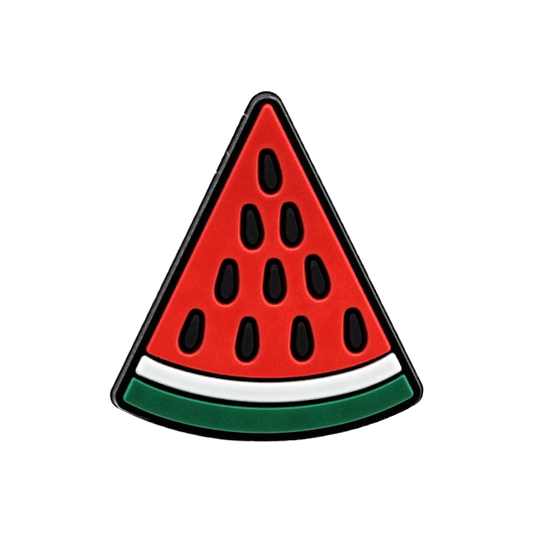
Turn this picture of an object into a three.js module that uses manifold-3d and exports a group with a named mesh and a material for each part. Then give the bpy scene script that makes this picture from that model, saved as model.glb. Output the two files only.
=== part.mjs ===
// A moulded soft-PVC shoe charm in the shape of a watermelon slice. Red flesh, white pith and
// green rind stand proud of a black base, ten seeds stand in holes through the flesh, and a
// button behind the base pushes through a hole in the shoe's upper.
//
// Millimetres. +Z is the way the picture faces, +Y runs from the rind up to the slice's tip, and
// the origin is the middle of the button's flat foot, which the charm stands on.

import * as THREE from "three";
import { mergeVertices, toCreasedNormals } from "three/addons/utils/BufferGeometryUtils.js";
import Module from "manifold-3d";

const wasm = await Module();
wasm.setup();

// ---- Driving dimensions ----------------------------------------------------------------------

// Places on the slice are given by x and by depth. Depth is measured down the slice's middle
// line from the point where the two sides of the base would meet.
const HALF_ANGLE = THREE.MathUtils.degToRad(26.05); // between the middle line and each side
const STEM_DEPTH = 18.8; // depth of the button's centre line

// Heights above the button's foot
const HEAD_THICKNESS = 2.0;
const UPPER_GAP = 4.6; // room for the shoe's upper between the head and the base
const BASE_THICKNESS = 2.5;
const PAD_RELIEF = 0.6; // flesh, pith and rind above the base's face
const SEED_RELIEF = 0.5;
const SUNK_DEPTH = 0.4; // how deep each coloured piece is set into the base
const CLEARANCE = 0.02; // between pieces that are bonded together

const BACK_Z = HEAD_THICKNESS + UPPER_GAP;
const LAND_Z = BACK_Z + BASE_THICKNESS; // the base's flat face
const POCKET_Z = LAND_Z - SUNK_DEPTH;

// Outlines. Margin is the black land left between a piece's sides and the sides of the base. A
// floor or ceiling has the depth of its lowest point, its radius and how far its centre lies to
// the right of the middle line. Its ends may run on along arcs with radii of their own, and the
// corners beyond them are rounded to the radius beside it, or on the right to one of their own. A
// corner's radius grows by its spread for each mm that the outline grows, or else by as much.
const BASE = {
  margin: 0,
  tipRadius: 1.22,
  floor: { depth: 28.97, radius: 26.28, shift: -0.17, leftEnd: 22.3, rightEnd: 29.3 },
  floorCorner: 1.02,
  rightCorner: 1.23,
  cornerSpread: 0.4,
};
const FLESH = {
  margin: 0.62,
  tipRadius: 0.45,
  floor: { depth: 23.96, radius: 24.38, shift: 0.22, leftEnd: 15.9, rightEnd: 14.3 },
  floorCorner: 0.38,
};
const PITH = {
  margin: 0.62,
  ceiling: { depth: 24.3, radius: 24.85, shift: 0.15, leftEnd: 6.4, rightEnd: 11.7 },
  ceilingCorner: 0.31,
  floor: { depth: 25.91, radius: 26.0, shift: 0.32, rightEnd: 14.9 },
  floorCorner: 0.36,
};
const RIND = {
  margin: 0.65,
  ceiling: { depth: 26.32, radius: 26.23, shift: 0.16, leftEnd: 13.1, rightEnd: 15.1 },
  ceilingCorner: 0.15,
  floor: { depth: 28.37, radius: 26.78, shift: -0.13, leftEnd: 18.2, rightEnd: 21.3 },
  floorCorner: 0.4,
};
// x at which the ends of floors and ceilings begin
const LEFT_CURL = -8.4;
const RIGHT_CURL = 6.6;
const SMALLEST_RADIUS = 0.03;
const TIP_SPREAD = 0.65; // growth of the tip's radius for each mm that an outline grows
const TIP_SHIFT = 0.025; // how far the tip's centre lies to the right of the middle line

// Edge profiles: how far the outline has grown at each height, from the bottom up. A flash line
// stands out round the base's back, and its wall leans in from there.
const BASE_PROFILE = [
  [0.2, BACK_Z],
  [0.35, BACK_Z + 0.07],
  [0.38, BACK_Z + 0.2],
  [0.34, BACK_Z + 0.3],
  [0.2, BACK_Z + 0.34],
  [0.04, LAND_Z - 0.04],
  [0, LAND_Z],
];
const PAD_SHOULDER = [
  [0, 0],
  [-0.04, 0.36],
  [-0.12, 0.53],
  [-0.28, PAD_RELIEF],
];
const SEED_SHOULDER = [
  [0, 0],
  [-0.03, 0.36],
  [-0.14, SEED_RELIEF],
];

// Seeds and the holes they stand in: egg shapes, narrow towards the tip. The taper widens the
// rind half of the egg and narrows the tip half. A seed sits a little lower than its hole.
const SEED_HOLE = { length: 3.66, midWidth: 1.79, taper: 0.25, drop: 0 };
const SEED = { length: 2.8, midWidth: 0.89, taper: 0.45, drop: 0.03 };
const EGG_FULLNESS = 2.5; // exponent of the superellipse: 2 is an ellipse, more is squarer
// The rows of seeds. Lean is in degrees, positive where the wide end swings to the right.
const SEED_ROWS = [
  [{ x: 0.14, depth: 7.35, lean: 6.5 }],
  [
    { x: -1.32, depth: 11.76, lean: 4.7 },
    { x: 1.85, depth: 11.63, lean: 4.5 },
  ],
  [
    { x: -3.26, depth: 16.12, lean: -8.7 },
    { x: 0.5, depth: 16.13, lean: 0.5 },
    { x: 3.88, depth: 15.81, lean: 12.1 },
  ],
  [
    { x: -6.07, depth: 20.1, lean: -15.9 },
    { x: -1.68, depth: 20.78, lean: -5.5 },
    { x: 2.66, depth: 20.76, lean: 1.7 },
    { x: 6.9, depth: 20.14, lean: 6 },
  ],
];

// The button: a broad head that holds behind the shoe's upper, a neck through its hole and a
// flange let into the base's back.
const HEAD_RADIUS = 5.5;
const HEAD_EDGE = 0.8; // rounding of the head's edge
const NECK_RADIUS = 2.75;
const NECK_FILLET = 0.6;
const FLANGE_RADIUS = 4.2;
const FLANGE_THICKNESS = 0.4;

// Steps that each curve is cut into
const FLOOR_STEPS = 14;
const CURL_STEPS = 4;
const CORNER_STEPS = 6;
const TIP_STEPS = 14;
const EGG_STEPS = 22;
const TURN_STEPS = 36;
const ROUND_STEPS = 4;

// ---- Outlines --------------------------------------------------------------------------------

// Points on an arc from one bearing to another. Bearing 0 points down the slice and a quarter
// turn points right. The result is in x and depth.
function arc(centre, radius, from, to, steps) {
  const points = [];
  for (let i = 0; i <= steps; i++) {
    const bearing = from + ((to - from) * i) / steps;
    points.push(spoke(bearing).multiplyScalar(radius).add(centre));
  }
  return points;
}

function spoke(bearing) {
  return new THREE.Vector2(Math.sin(bearing), Math.cos(bearing));
}

function bearingOf(from, to) {
  return Math.atan2(to.x - from.x, to.y - from.y);
}

function arcCentre({ depth, radius, shift }) {
  return new THREE.Vector2(shift, depth - radius);
}

// A corner's radius on an outline that has grown. It never falls to nothing, so the number of
// points stays the same.
function grownRadius(radius, grow) {
  return Math.max(radius + grow, SMALLEST_RADIUS);
}

// Centre of the corner circle that touches the right side (side = 1) or the left side (-1) from
// inside, with its centre at the given reach from the hub, which is the floor's or ceiling's.
function cornerCentre(side, apex, radius, hub, reach) {
  const sin = Math.sin(HALF_ANGLE);
  const cos = Math.cos(HALF_ANGLE);
  const down = new THREE.Vector2(side * sin, cos);
  const start = new THREE.Vector2(-side * radius * cos, apex + radius * sin);
  const offset = start.clone().sub(hub);
  const along = down.dot(offset);
  const travel = -along + Math.sqrt(along ** 2 - offset.lengthSq() + reach ** 2);
  return start.addScaledVector(down, travel);
}

// The round tip where the sides meet, from right to left.
function tipPoints(apex, radius) {
  const centre = new THREE.Vector2(TIP_SHIFT, apex + radius / Math.sin(HALF_ANGLE));
  const rightSide = Math.PI / 2 + HALF_ANGLE;
  return arc(centre, radius, rightSide, 2 * Math.PI - rightSide, TIP_STEPS);
}

// The right end (side = 1) or left end (-1) of a floor or ceiling: its hub, its radius and the
// bearing at which it runs into the long arc.
function endOf(bow, side) {
  const bearing = Math.asin(((side > 0 ? RIGHT_CURL : LEFT_CURL) - bow.shift) / bow.radius);
  const radius = (side > 0 ? bow.rightEnd : bow.leftEnd) ?? bow.radius;
  const hub = arcCentre(bow).addScaledVector(spoke(bearing), bow.radius - radius);
  return { hub, radius, bearing };
}

// Points along a floor or ceiling that has moved down by grow, between the bearings, each taken
// at its end's hub, at which the corner circles touch it.
function bowPoints(bow, grow, fromLeft, toRight) {
  const left = endOf(bow, -1);
  const right = endOf(bow, 1);
  const middle = arc(arcCentre(bow), bow.radius + grow, left.bearing, right.bearing, FLOOR_STEPS);
  return [
    ...arc(left.hub, left.radius + grow, fromLeft, left.bearing, CURL_STEPS),
    ...middle.slice(1),
    ...arc(right.hub, right.radius + grow, right.bearing, toRight, CURL_STEPS).slice(1),
  ];
}

// The corner circle that touches a side from inside and the floor from above (over = -1) or the
// ceiling from below (over = 1), and the bearing at which it touches the floor or ceiling.
function cornerAt(side, apex, bow, radius, grow, over) {
  const end = endOf(bow, side);
  const centre = cornerCentre(side, apex, radius, end.hub, end.radius + grow + over * radius);
  return { centre, bearing: bearingOf(end.hub, centre) };
}

// The upper edge of a band, from right to left: a corner, the ceiling and a corner.
function ceilingPoints(piece, apex, grow) {
  const radius = grownRadius(piece.ceilingCorner, grow);
  const rightSide = Math.PI / 2 + HALF_ANGLE;
  const right = cornerAt(1, apex, piece.ceiling, radius, -grow, 1);
  const left = cornerAt(-1, apex, piece.ceiling, radius, -grow, 1);
  const ceiling = bowPoints(piece.ceiling, -grow, left.bearing, right.bearing);
  return [
    ...arc(right.centre, radius, rightSide, right.bearing + Math.PI, CORNER_STEPS),
    ...ceiling.reverse().slice(1, -1),
    ...arc(left.centre, radius, left.bearing + Math.PI, 2 * Math.PI - rightSide, CORNER_STEPS),
  ];
}

// Outline of a piece of the slice, grown all round, anticlockwise seen from the front. The
// number of points doesn't depend on the growth, so outlines at different heights can be joined.
function sliceOutline(piece, grow) {
  const apex = (piece.margin - grow) / Math.sin(HALF_ANGLE);
  const spread = (piece.cornerSpread ?? 1) * grow;
  const leftRadius = grownRadius(piece.floorCorner, spread);
  const rightRadius = grownRadius(piece.rightCorner ?? piece.floorCorner, spread);
  const rightSide = Math.PI / 2 + HALF_ANGLE;
  const right = cornerAt(1, apex, piece.floor, rightRadius, grow, -1);
  const left = cornerAt(-1, apex, piece.floor, leftRadius, grow, -1);
  const upper = piece.ceiling
    ? ceilingPoints(piece, apex, grow)
    : tipPoints(apex, grownRadius(piece.tipRadius, TIP_SPREAD * grow));
  return [
    ...bowPoints(piece.floor, grow, left.bearing, right.bearing),
    ...arc(right.centre, rightRadius, right.bearing, rightSide, CORNER_STEPS).slice(1),
    ...upper,
    ...arc(left.centre, leftRadius, -rightSide, left.bearing, CORNER_STEPS).slice(0, -1),
  ].map((p) => new THREE.Vector2(p.x, STEM_DEPTH - p.y));
}

// Outline of a seed or of its hole, anticlockwise seen from the front.
function eggOutline(egg, place, grow) {
  const lean = THREE.MathUtils.degToRad(place.lean);
  const long = egg.length / 2 + grow;
  const points = [];
  for (let i = 0; i < EGG_STEPS; i++) {
    const turn = (2 * Math.PI * i) / EGG_STEPS;
    const cos = Math.cos(turn);
    const sin = Math.sin(turn);
    const u = Math.sign(cos) * Math.abs(cos) ** (2 / EGG_FULLNESS);
    const v = Math.sign(sin) * Math.abs(sin) ** (2 / EGG_FULLNESS);
    const wide = (egg.midWidth / 2) * (1 + egg.taper * u * (1 - u * u)) + grow;
    const down = egg.drop + long * u;
    const x = place.x + down * Math.sin(lean) + wide * v * Math.cos(lean);
    const depth = place.depth + down * Math.cos(lean) - wide * v * Math.sin(lean);
    points.push(new THREE.Vector2(x, STEM_DEPTH - depth));
  }
  return points;
}

// ---- Solids ----------------------------------------------------------------------------------

// A closed solid through a stack of outlines, each with its height, from the bottom up.
function loft(levels) {
  const count = levels[0].outline.length;
  const positions = [];
  for (const { outline, z } of levels) {
    for (const p of outline) positions.push(p.x, p.y, z);
  }
  const faces = [];
  for (let level = 0; level + 1 < levels.length; level++) {
    for (let i = 0; i < count; i++) {
      const a = level * count + i;
      const b = level * count + ((i + 1) % count);
      faces.push(a, b, b + count);
      faces.push(a, b + count, a + count);
    }
  }
  const top = (levels.length - 1) * count;
  for (const [a, b, c] of THREE.ShapeUtils.triangulateShape(levels[0].outline, [])) {
    faces.push(c, b, a);
  }
  for (const [a, b, c] of THREE.ShapeUtils.triangulateShape(levels.at(-1).outline, [])) {
    faces.push(top + a, top + b, top + c);
  }
  return new wasm.Manifold(
    new wasm.Mesh({
      numProp: 3,
      vertProperties: new Float32Array(positions),
      triVerts: new Uint32Array(faces),
    }),
  );
}

function sliceSolid(piece, profile) {
  return loft(profile.map(([grow, z]) => ({ outline: sliceOutline(piece, grow), z })));
}

function eggSolid(egg, place, profile) {
  return loft(profile.map(([grow, z]) => ({ outline: eggOutline(egg, place, grow), z })));
}

function solidOf(geometry) {
  const bare = geometry.clone();
  bare.deleteAttribute("normal");
  bare.deleteAttribute("uv");
  const merged = mergeVertices(bare, 1e-4);
  return new wasm.Manifold(
    new wasm.Mesh({
      numProp: 3,
      vertProperties: merged.attributes.position.array,
      triVerts: new Uint32Array(merged.index.array),
    }),
  );
}

function geometryOf(solid) {
  const { vertProperties, triVerts } = solid.getMesh();
  const geometry = new THREE.BufferGeometry();
  geometry.setAttribute("position", new THREE.BufferAttribute(vertProperties, 3));
  geometry.setIndex(new THREE.BufferAttribute(triVerts, 1));
  return toCreasedNormals(geometry, Math.PI / 5);
}

// A straight-walled cutter that clears a sunk piece and reaches out past the base's face.
function pocketProfile(grow) {
  return [
    [grow, POCKET_Z],
    [grow, LAND_Z + 1],
  ];
}

// ---- Pieces ----------------------------------------------------------------------------------

const seedPlaces = SEED_ROWS.flat();

// A coloured piece: straight where it is sunk in the base, then a softly rounded shoulder.
function proudProfile(shoulder) {
  return [[0, POCKET_Z + CLEARANCE], ...shoulder.map(([grow, rise]) => [grow, LAND_Z + rise])];
}

// The flesh's holes flare at the top as its outer edge does.
function fleshPad() {
  const flare = PAD_SHOULDER.map(([grow, rise]) => [-grow, LAND_Z + rise]);
  const past = [flare.at(-1)[0], LAND_Z + 1];
  const hole = [[0, POCKET_Z - 1], ...flare, past];
  let pad = sliceSolid(FLESH, proudProfile(PAD_SHOULDER));
  for (const place of seedPlaces) pad = pad.subtract(eggSolid(SEED_HOLE, place, hole));
  return pad;
}

// The base keeps an island of its own face inside each of the flesh's holes, with the seed set
// into the island's middle.
function baseBody() {
  let fleshPocket = sliceSolid(FLESH, pocketProfile(CLEARANCE));
  for (const place of seedPlaces) {
    const island = [
      [-CLEARANCE, POCKET_Z - 1],
      [-CLEARANCE, LAND_Z + 2],
    ];
    fleshPocket = fleshPocket.subtract(eggSolid(SEED_HOLE, place, island));
  }
  let body = sliceSolid(BASE, BASE_PROFILE).subtract(fleshPocket);
  body = body.subtract(sliceSolid(PITH, pocketProfile(CLEARANCE)));
  body = body.subtract(sliceSolid(RIND, pocketProfile(CLEARANCE)));
  for (const place of seedPlaces) {
    body = body.subtract(eggSolid(SEED, place, pocketProfile(CLEARANCE)));
  }
  return body.subtract(turned(seatProfile()));
}

// A turned solid about the button's centre line. Its profile is radius and height.
function turned(profile) {
  const points = profile.map(([radius, z]) => new THREE.Vector2(radius, z));
  return solidOf(new THREE.LatheGeometry(points, TURN_STEPS).rotateX(Math.PI / 2));
}

// Quarter of an ellipse as profile points, from the first bearing to the second, in radians.
function quarter(centreRadius, centreZ, wide, high, from, to) {
  const points = [];
  for (let i = 0; i <= ROUND_STEPS; i++) {
    const turn = from + ((to - from) * i) / ROUND_STEPS;
    points.push([centreRadius + wide * Math.cos(turn), centreZ + high * Math.sin(turn)]);
  }
  return points;
}

// The seat in the base's back that the button's flange is bonded into.
function seatProfile() {
  const radius = FLANGE_RADIUS + CLEARANCE;
  return [
    [0, BACK_Z - 1],
    [radius, BACK_Z - 1],
    [radius, BACK_Z + FLANGE_THICKNESS + CLEARANCE],
    [0, BACK_Z + FLANGE_THICKNESS + CLEARANCE],
  ];
}

function buttonBody() {
  const neck = NECK_RADIUS + NECK_FILLET;
  const rim = HEAD_RADIUS - HEAD_EDGE;
  return turned([
    [0, 0],
    ...quarter(rim, HEAD_EDGE, HEAD_EDGE, HEAD_EDGE, -Math.PI / 2, 0),
    ...quarter(rim, HEAD_THICKNESS - HEAD_EDGE, HEAD_EDGE, HEAD_EDGE, 0, Math.PI / 2),
    ...quarter(neck, HEAD_THICKNESS + NECK_FILLET, NECK_FILLET, NECK_FILLET, -Math.PI / 2, -Math.PI),
    ...quarter(neck, BACK_Z - NECK_FILLET, NECK_FILLET, NECK_FILLET, Math.PI, Math.PI / 2),
    [FLANGE_RADIUS, BACK_Z],
    [FLANGE_RADIUS, BACK_Z + FLANGE_THICKNESS],
    [0, BACK_Z + FLANGE_THICKNESS],
  ]);
}

// ---- Assembly --------------------------------------------------------------------------------

function pvc(color, roughness) {
  return new THREE.MeshStandardMaterial({ color, roughness, metalness: 0 });
}

const BLACK_PVC = pvc(0x080708, 0.3);
const RED_PVC = pvc(0xe0221b, 0.45);
const WHITE_PVC = pvc(0xe6e7e7, 0.45);
const GREEN_PVC = pvc(0x0a5535, 0.45);
const CHARCOAL_PVC = pvc(0x1a181a, 0.6);

function piece(name, solid, material) {
  const mesh = new THREE.Mesh(geometryOf(solid), material);
  mesh.name = name;
  return mesh;
}

const charm = new THREE.Group();
charm.name = "watermelon_charm";
charm.add(piece("base", baseBody(), BLACK_PVC));
charm.add(piece("flesh_pad", fleshPad(), RED_PVC));
charm.add(piece("pith_band", sliceSolid(PITH, proudProfile(PAD_SHOULDER)), WHITE_PVC));
charm.add(piece("rind_band", sliceSolid(RIND, proudProfile(PAD_SHOULDER)), GREEN_PVC));
seedPlaces.forEach((place, i) => {
  const name = `seed_${String(i + 1).padStart(2, "0")}`;
  charm.add(piece(name, eggSolid(SEED, place, proudProfile(SEED_SHOULDER)), CHARCOAL_PVC));
});
charm.add(piece("button", buttonBody(), BLACK_PVC));

export default charm;
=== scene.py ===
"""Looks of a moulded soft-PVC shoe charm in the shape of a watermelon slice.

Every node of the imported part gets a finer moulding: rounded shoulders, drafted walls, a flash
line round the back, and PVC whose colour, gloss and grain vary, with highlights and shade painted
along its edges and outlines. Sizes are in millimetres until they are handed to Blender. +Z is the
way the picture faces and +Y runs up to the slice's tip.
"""

import math

import bmesh
import bpy
import numpy as np
from mathutils import Matrix, Vector, noise
from mathutils.geometry import delaunay_2d_cdt
from mathutils.kdtree import KDTree


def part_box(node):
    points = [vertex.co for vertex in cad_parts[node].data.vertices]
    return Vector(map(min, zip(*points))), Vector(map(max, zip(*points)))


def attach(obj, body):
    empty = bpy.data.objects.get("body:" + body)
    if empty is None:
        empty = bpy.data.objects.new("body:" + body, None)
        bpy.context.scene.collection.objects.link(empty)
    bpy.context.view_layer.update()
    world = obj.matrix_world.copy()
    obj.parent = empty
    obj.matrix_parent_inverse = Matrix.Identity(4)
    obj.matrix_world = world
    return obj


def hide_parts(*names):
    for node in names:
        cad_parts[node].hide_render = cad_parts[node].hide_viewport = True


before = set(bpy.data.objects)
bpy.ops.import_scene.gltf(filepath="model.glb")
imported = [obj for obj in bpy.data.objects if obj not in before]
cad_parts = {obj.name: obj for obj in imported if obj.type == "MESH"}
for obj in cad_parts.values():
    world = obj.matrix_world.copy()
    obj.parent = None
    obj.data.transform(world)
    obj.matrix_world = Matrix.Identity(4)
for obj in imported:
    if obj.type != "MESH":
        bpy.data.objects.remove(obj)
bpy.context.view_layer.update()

MM = 0.001  # in metres

# ---- Driving dimensions ----------------------------------------------------------------------

# These are the part's own, except that a seed is 0.03 wider here, and that holes and seeds are
# bent and shifted a little.

# Places on the slice are given by x and by depth, measured down the middle line from the point
# where the two sides of the base would meet.
HALF_ANGLE = math.radians(26.05)
STEM_DEPTH = 18.8
RIGHT_SIDE = math.pi / 2 + HALF_ANGLE  # bearing that the right side faces
TIP_SPREAD = 0.65  # growth of the tip's radius for each mm that an outline grows
TIP_SHIFT = 0.025  # how far the tip's centre lies to the right of the middle line
SMALLEST_RADIUS = 0.03

BACK_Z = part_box("base")[0].z / MM
LAND_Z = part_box("base")[1].z / MM  # the base's flat face
POCKET_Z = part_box("flesh_pad")[0].z / MM  # the undersides of the pads and seeds
PAD_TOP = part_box("flesh_pad")[1].z / MM
FOOT_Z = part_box("button")[0].z / MM
FLANGE_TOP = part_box("button")[1].z / MM
HEAD_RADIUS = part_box("button")[1].x / MM
CLEARANCE = 0.02  # between pieces that are bonded together
POCKET_FLOOR = POCKET_Z - CLEARANCE

# Outlines. Margin is the black land left between a piece's sides and those of the base. A floor or
# ceiling has the depth of its lowest point, its radius and how far its centre lies to the right
# of the middle line. Its ends may run on along arcs with radii of their own, and the corners
# beyond them are rounded to the radius beside it, or on the right to one of their own. A corner's
# radius grows by its spread for each mm that the outline grows, or else by as much.
BASE = {
    "margin": 0,
    "tip_radius": 1.22,
    "floor": {"depth": 28.97, "radius": 26.28, "shift": -0.17, "left_end": 22.3, "right_end": 29.3},
    "floor_corner": 1.02,
    "right_corner": 1.23,
    "corner_spread": 0.4,
}
FLESH = {
    "margin": 0.62,
    "tip_radius": 0.45,
    "floor": {"depth": 23.96, "radius": 24.38, "shift": 0.22, "left_end": 15.9, "right_end": 14.3},
    "floor_corner": 0.38,
}
PITH = {
    "margin": 0.62,
    "ceiling": {"depth": 24.3, "radius": 24.85, "shift": 0.15, "left_end": 6.4, "right_end": 11.7},
    "ceiling_corner": 0.31,
    "floor": {"depth": 25.91, "radius": 26.0, "shift": 0.32, "right_end": 14.9},
    "floor_corner": 0.36,
}
RIND = {
    "margin": 0.65,
    "ceiling": {"depth": 26.32, "radius": 26.23, "shift": 0.16, "left_end": 13.1, "right_end": 15.1},
    "ceiling_corner": 0.15,
    "floor": {"depth": 28.37, "radius": 26.78, "shift": -0.13, "left_end": 18.2, "right_end": 21.3},
    "floor_corner": 0.4,
}
# x at which the ends of floors and ceilings begin
LEFT_CURL = -8.4
RIGHT_CURL = 6.6

# Seeds and the holes they stand in: egg shapes, narrow towards the tip. The taper widens the
# rind half and narrows the tip half, the drop is how far the egg sits below its place, and the
# bend is how far its ends lie to the right of its middle.
SEED_HOLE = {"length": 3.66, "mid_width": 1.79, "taper": 0.25, "drop": 0, "bend": -0.063}
SEED = {"length": 2.8, "mid_width": 0.92, "taper": 0.45, "drop": 0.03, "bend": -0.02}
EGG_FULLNESS = 2.5  # exponent of the superellipse: 2 is an ellipse, more is squarer
# x, depth and lean in degrees, row by row from the tip. The lean is positive where the wide end
# swings to the right.
SEED_PLACES = [
    (0.14, 7.35, 6.5),
    (-1.32, 11.76, 4.7),
    (1.85, 11.63, 4.5),
    (-3.26, 16.12, -8.7),
    (0.5, 16.13, 0.5),
    (3.88, 15.81, 12.1),
    (-6.07, 20.1, -15.9),
    (-1.68, 20.78, -5.5),
    (2.66, 20.76, 1.7),
    (6.9, 20.14, 6),
]
# How far the holes and the seeds are shifted from there, in the same three measures
HOLE_SHIFT = (-0.008, 0.007, 0.7)
SEED_SHIFT = (0.008, 0.024, 0.9)

# The button: a head, a neck through the shoe's upper and a flange let into the base's back
HEAD_THICKNESS = 2.0
HEAD_EDGE = 0.8  # rounding of the head's edge
NECK_RADIUS = 2.75
NECK_FILLET = 0.6
FLANGE_RADIUS = 4.2

# ---- Edges -----------------------------------------------------------------------------------

# Side of the base, from the back up: how far the outline has grown, and the height. A flash line
# stands out round the back, with a ledge on it, and the wall above leans in to a crisp upper edge.
LEDGE_Z = BACK_Z + 0.3
WALL_FOOT = 0.173  # growth of the wall just above the ledge
BACK_EDGE = [
    (0.2, BACK_Z),
    (0.27, BACK_Z + 0.02),
]
FLASH_LINE = [
    (0.33, BACK_Z + 0.07),
    (0.36, BACK_Z + 0.14),
    (0.37, BACK_Z + 0.21),
    (0.37, BACK_Z + 0.27),
    (0.368, BACK_Z + 0.288),
    (0.36, BACK_Z + 0.297),
    (0.35, LEDGE_Z),
]
WALL = [
    (0.19, LEDGE_Z),
    (0.182, LEDGE_Z + 0.003),
    (0.176, LEDGE_Z + 0.015),
    (WALL_FOOT, LEDGE_Z + 0.04),
    (0.168, LEDGE_Z + 0.1),
    (0.135, BACK_Z + 1.0),
    (0.095, BACK_Z + 1.7),
    (0.057, LAND_Z - 0.2),
    (0.045, LAND_Z - 0.05),
    (0.04, LAND_Z - 0.028),
    (0.027, LAND_Z - 0.011),
    (0.012, LAND_Z - 0.002),
    (0, LAND_Z),
]
FACE_EDGE = (-0.05, LAND_Z)
BASE_SIDE = [*BACK_EDGE, *FLASH_LINE, *WALL, FACE_EDGE]
# Where the flash line was torn on the left side: y, how fully the ledge is gone there back to the
# wall's foot, and how fully a ridge stands on the wall above
TEARS = [(15.9, 0.6, 1), (12.72, 0, 1), (11.26, 0.8, 0.3)]
TEAR_WIDTH = 0.055  # to each side
RIDGE_HEIGHT = 0.03
RAGGEDNESS = 0.04  # how far the flash line is worn back at most
RAG_LENGTH = 0.5
# Where the flash line is wider or narrower: x, y, reach and how far it stands out further
SWELLS = [
    (-1.96, 15.95, 1.8, 0.03),
    (-3.2, 13.5, 4.5, 0.035),
    (8.36, -8.75, 3.3, 0.052),
    (11.71, -7.23, 0.8, -0.055),
    (-0.44, -10.19, 2.6, -0.045),
]
# Round the tip the wall's foot stands further out, over a stretch of y.
TIP_FLARE = 0.06
FLARE_START = 16.5
FLARE_END = 17.4
# Round the left corner it stands out too, most where the wall faces half left and half down. The
# stretch is of twice the product of those two shares.
CORNER_FLARE = 0.12
CORNER_START = 0.3
CORNER_END = 0.9
# On the corner's lower side, as it comes to face left and down by these shares, the wall leans
# out over the ledge from an upper edge that lies further out.
UNDER_LEFT = (0.36, 0.42)
UNDER_DOWN = (0.6, 0.85)
UNDER_FLARE = 0.09
UNDER_SHIFT = 0.06
# Along the rind the wall comes to stand upright as it faces down by these shares.
UPRIGHT_START = 0.6
UPRIGHT_END = 0.84
# Polished spots on the wall: x, y, radius and how polished. The core has all of that polish.
SPOTS = [
    (-12.0, -7.5, 1.0, 1),
    (0.5, 17.3, 0.35, 0.8),
]
SPOT_CORE = 0.5  # as a share of the radius
# Marks on the wall where the flash was torn, each a short line from one place to another
SCARS = [
    [(-1.84, 15.88), (-1.56, 15.83)],
    [(-3.16, 12.95), (-3.06, 12.7)],
    [(-4.1, 11.3), (-4.0, 11.26)],
]
# How polished the right side's wall is and the lower half of the tip's, and the shares of right
# and of up that a wall faces as the polish comes in
RIGHT_POLISH = 0.55
RIGHT_FACING = (0.4, 0.8)
TIP_POLISH = 0.35
TIP_FACING = (0.6, 0.9)

# Shoulders of the pads and of the flesh's holes are quarters of an ellipse, wide and high. As the
# edge's share of facing down goes through the stretch of turn, the shoulder's width changes to
# lower times as much, apart from the setback at its foot, and all of it moves inwards by back.
PAD_TURN = (0.4, 0.85)
HOLE_TURN = (-0.7, 0.85)
FLESH_EDGE = {"wide": 0.3, "high": 0.34, "turn": PAD_TURN, "lower": 0.5, "setback": 0.06, "back": 0}
PITH_EDGE = {"wide": 0.21, "high": 0.3, "turn": PAD_TURN, "lower": 0.25, "setback": 0.1, "back": 0.03}
RIND_EDGE = {"wide": 0.11, "high": 0.24, "turn": PAD_TURN, "lower": 2.0, "setback": 0.06, "back": 0.01}
HOLE_EDGE = {"wide": 0.33, "high": 0.34, "turn": HOLE_TURN, "lower": 0.5, "setback": 0, "back": 0}
HOLE_LEAN = 0.017  # how much nearer to the rind a hole's mouth lies than its foot
# How far the wall of a pad or of a hole leans back between the base's face and the shoulder
PAD_DRAFT = 0.02
HOLE_DRAFT = -0.003
FLAT_RING = 0.07  # width of the ring between a shoulder and the grid inside it
# The top falls by high at the pad's edge and at a hole's, and by less the further in, over wide
PAD_DOME = {"wide": 1.1, "high": 0.05}
HOLE_DOME = {"wide": 0.5, "high": 0.02}

# A seed's side and the raised lip round its top: growth and the height above the base's face
SEED_SIDE = [
    (0.01, 0),
    (-0.02, 0.34),
    (-0.035, 0.41),
    (-0.065, 0.465),
    (-0.105, 0.488),
    (-0.145, 0.488),
    (-0.19, 0.474),
    (-0.25, 0.465),
]
CROWN = slice(31, 58)  # the points of a seed's outline round its narrow end
EYE_INSET = 0.28  # from the narrow end to the middle of a small round pit
EYE_RADIUS = 0.11
EYE_DEPTH = 0.06

# Steps that each curve is cut into
FLOOR_STEPS = 150
CURL_STEPS = 30
CORNER_STEPS = 16
TIP_STEPS = 30
EGG_STEPS = 88
TURN_STEPS = 144
SHOULDER_STEPS = 10
ROUND_STEPS = 10
EDGE_PIECES = 6  # pieces that an outline's edge is cut into where the distance from it is taken

# Spacing of the vertices along straight sides, and of the grids inside outlines
SIDE_SPACING = 0.11
GRID_SPACING = 0.3
PAD_GRID = 0.2
SEED_GRID = 0.12
SEED_TOP_GRID = 0.05
CLEAR_OF_BORDER = 0.6  # share of the grid's spacing that it keeps from a border
SLIVER_AREA = 1e-6  # a triangle no larger than this, in square millimetres, is left out
MERGE_REACH = 1e-7  # points nearer to each other than this are merged
ALL_TRIANGLES = 0  # the kind of result asked of the triangulation
SHARP_ANGLE = math.radians(50)  # an edge turned by more than this is shaded sharp

# The top of a soft moulding is never quite flat.
WAVE_HEIGHT = 0.01
WAVE_LENGTH = 1.9
TOP_GAP = 0.011  # so that the waves stay under the part's own top
FAR = 9  # distance given to the back, and where there is no outline to measure from
BACK_SKIN = 0.01  # what lies no higher than this above the back's face counts as the back

# ---- Outlines --------------------------------------------------------------------------------


def spoke(bearing):
    """A direction in x and depth. Bearing 0 points down the slice and a quarter turn right."""
    return Vector((math.sin(bearing), math.cos(bearing)))


def arc(centre, radius, start, end, steps):
    """Points on an arc from one bearing to another."""
    bearings = (start + (end - start) * i / steps for i in range(steps + 1))
    return [centre + radius * spoke(bearing) for bearing in bearings]


def arc_centre(bow):
    return Vector((bow["shift"], bow["depth"] - bow["radius"]))


def grown_radius(radius, grow):
    """A corner's radius on a grown outline. It never falls to nothing, so no points are lost."""
    return max(radius + grow, SMALLEST_RADIUS)


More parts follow.
